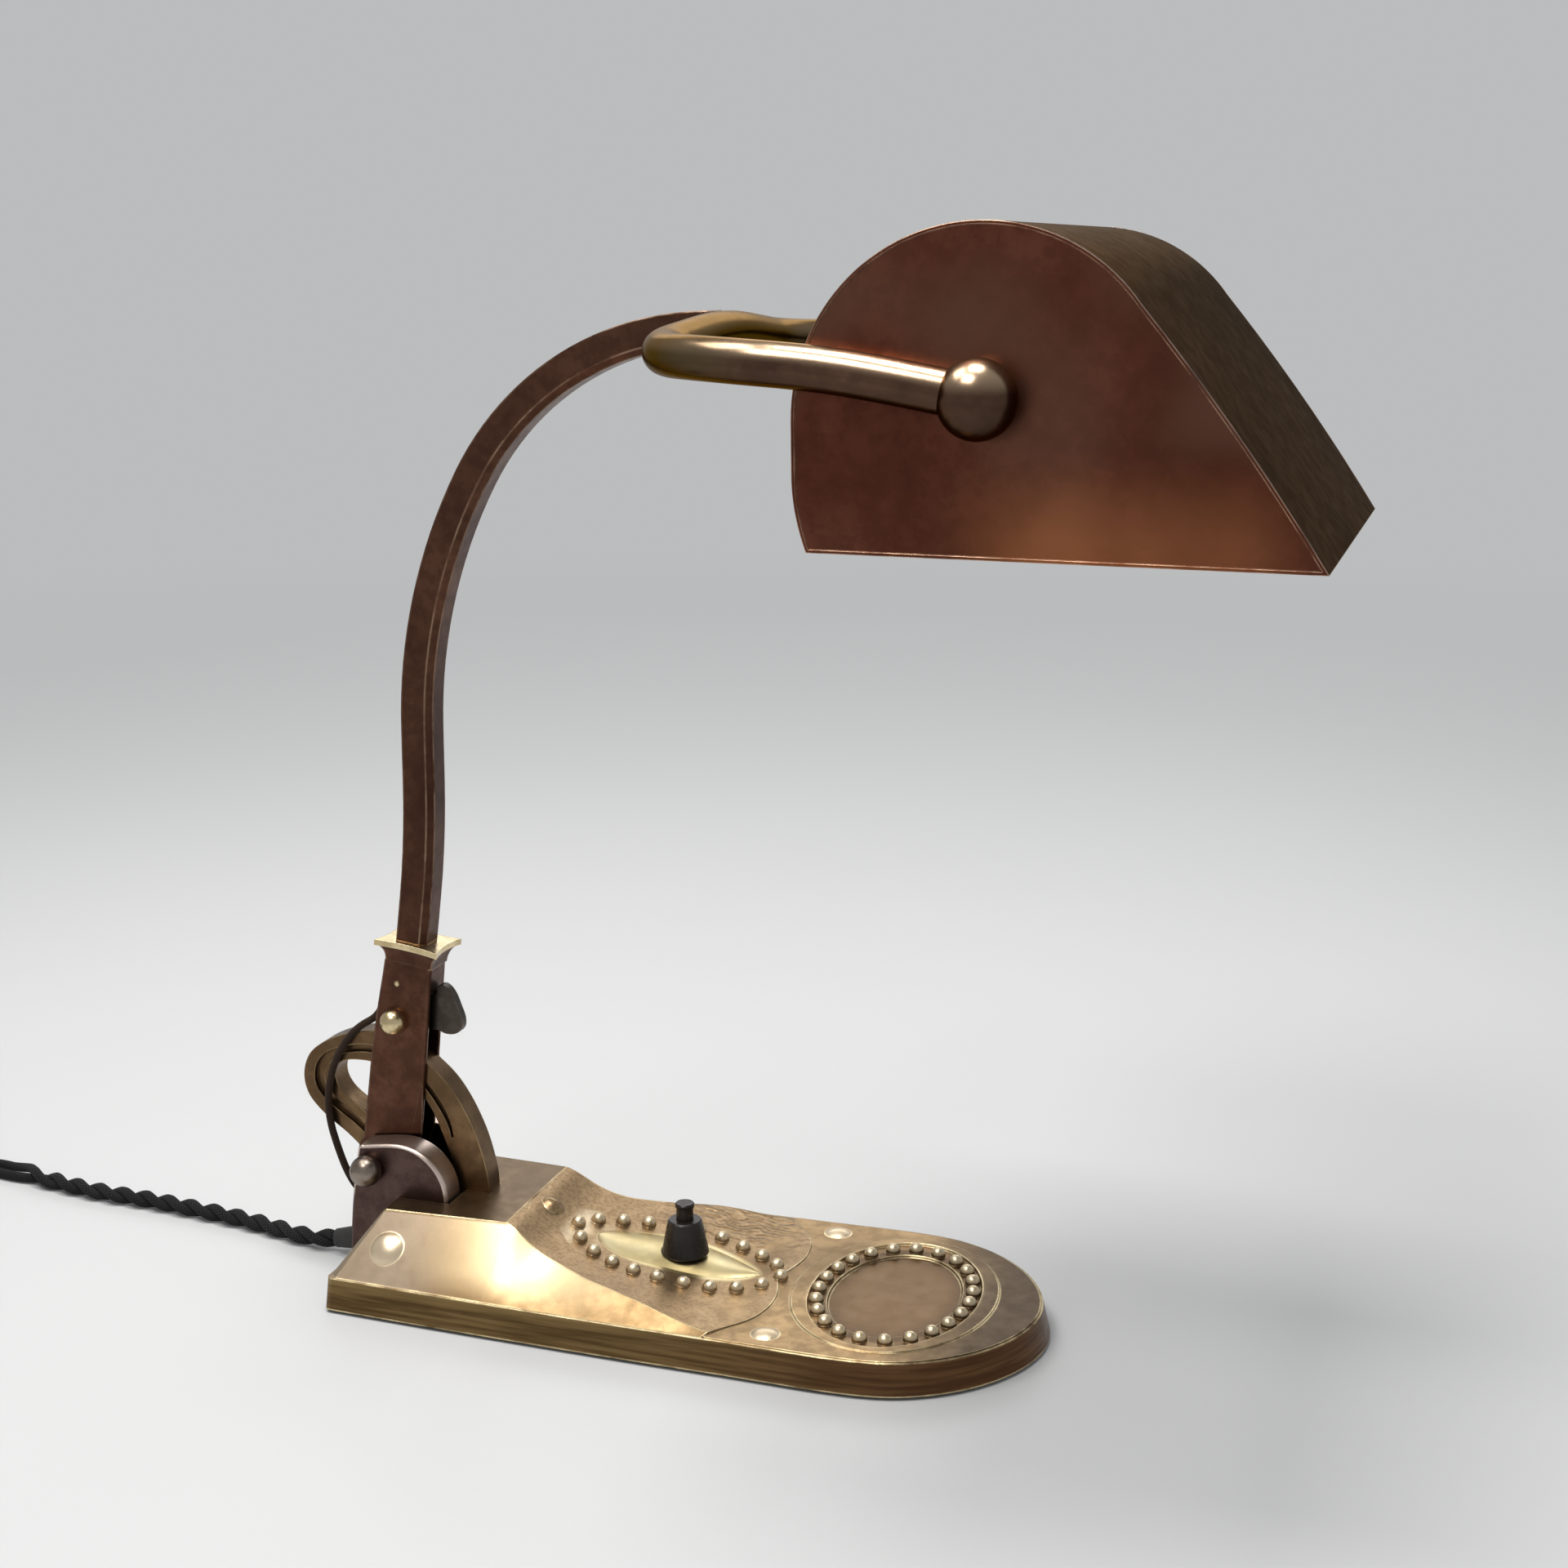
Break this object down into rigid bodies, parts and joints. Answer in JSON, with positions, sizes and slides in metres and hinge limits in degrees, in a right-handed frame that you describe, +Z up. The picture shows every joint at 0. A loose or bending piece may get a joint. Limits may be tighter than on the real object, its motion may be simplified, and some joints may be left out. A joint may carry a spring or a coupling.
{
  "type": "notary lamp",
  "caption": "Desk lamp with a cast foot, push switch, hinged upright on a latched guide bar, swan-neck arm, fork and tilting half-round shade.",
  "frame": {"origin": "centre of the foot's underside, halfway along its length, on the surface it stands on", "axes": "+X runs to the rounded front of the foot, where the shade hangs; +Y runs across, away from the near side with the latch pin's ball head; +Z is up"},
  "size_m": [0.7044, 0.2358, 0.4144],
  "materials": {
    "foot_brass": "patinated cast brass, satin, rubbed on the edges",
    "bracket_bronze": "dark brown patina, satin",
    "bar_brass": "patinated brass, rubbed bright on the ribs",
    "post_bronze": "dark red-brown patina, satin",
    "fork_brass": "brown patina, satin, rubbed bright on top",
    "bright_brass": "rubbed brass",
    "lever_bronze": "dark patina, satin",
    "shade_copper": "red-brown patina over brass sheet, satin",
    "strap_brass": "plain brass strip",
    "steel": "zinc-plated steel",
    "iron": "raw cast iron",
    "felt": "green felt",
    "switch_black": "black moulded resin",
    "cord_cloth": "black braided cloth, twisted",
    "lead_cover": "dark brown cloth cover",
    "bulb_metal": "satin aluminium",
    "bulb_glass": "clear glass",
    "pin_metal": "nickel-plated brass"
  },
  "bodies": {
    "foot": {"base_casting": "foot_brass", "felt_pad": "felt", "bottom_plate": "steel", "bottom_screws": "steel", "ballast": "iron", "pivot_bracket": "bracket_bronze", "bracket_screws": "steel", "arch_bar": "bar_brass", "arch_screw": "steel", "pivot_bolt": "bracket_bronze", "pivot_ball_nut": "bracket_bronze", "pivot_washers": "bright_brass", "switch_body": "switch_black", "switch_cone": "switch_black", "switch_spring": "steel", "terminal_block": "switch_black", "terminal_screws": "bright_brass", "cord_bush": "switch_black", "cord_grip": "switch_black", "base_wiring": "lead_cover", "mains_cord": "cord_cloth", "mains_coil": "cord_cloth", "mains_plug": "switch_black", "plug_pins": "pin_metal", "tilt_lead": "lead_cover"},
    "upright": {"post": "post_bronze", "post_collar": "bright_brass", "arm": "post_bronze", "latch_pin": "bright_brass", "latch_pin_nut": "bright_brass", "stop_pin": "bright_brass", "latch_spring": "steel", "fork_yoke": "fork_brass", "fork_ball_near": "fork_brass", "fork_ball_far": "fork_brass", "arm_wiring": "lead_cover", "shade_studs": "bright_brass", "shade_washers": "bright_brass", "shade_nuts": "bright_brass"},
    "latch": {"latch_lever": "lever_bronze"},
    "button": {"switch_button": "switch_black"},
    "shade": {"shade_sheet": "shade_copper", "shade_cap_near": "shade_copper", "shade_cap_far": "shade_copper", "socket_strap": "strap_brass", "strap_rivets": "strap_brass", "lampholder": "bright_brass", "holder_nut": "bright_brass", "holder_insulator": "switch_black", "bulb_cap": "bulb_metal", "bulb_glass": "bulb_glass", "shade_wiring": "lead_cover"}
  },
  "joints": [
    {"name": "upright_swing", "type": "hinge", "parent": "foot", "child": "upright", "pos_m": [-0.1355, 0, 0.0465], "axis": [0, 1, 0], "range_deg": [-34, 4], "deforming": ["tilt_lead"]},
    {"name": "latch_press", "type": "hinge", "parent": "upright", "child": "latch", "pos_m": [-0.128, 0, 0.1055], "axis": [0, 1, 0], "range_deg": [0, 12], "stiffness_Nm_per_rad": 0.3, "springref_deg": -17.19, "deforming": ["latch_spring"]},
    {"name": "button_press", "type": "slide", "parent": "foot", "child": "button", "axis": [0, 0, 1], "range_m": [-0.0025, 0], "stiffness_N_per_m": 400, "springref_m": 0.003, "deforming": ["switch_spring"]},
    {"name": "shade_tilt", "type": "hinge", "parent": "upright", "child": "shade", "pos_m": [0.1312, 0, 0.3614], "axis": [0, 1, 0], "range_deg": [-60, 36]}
  ]
}
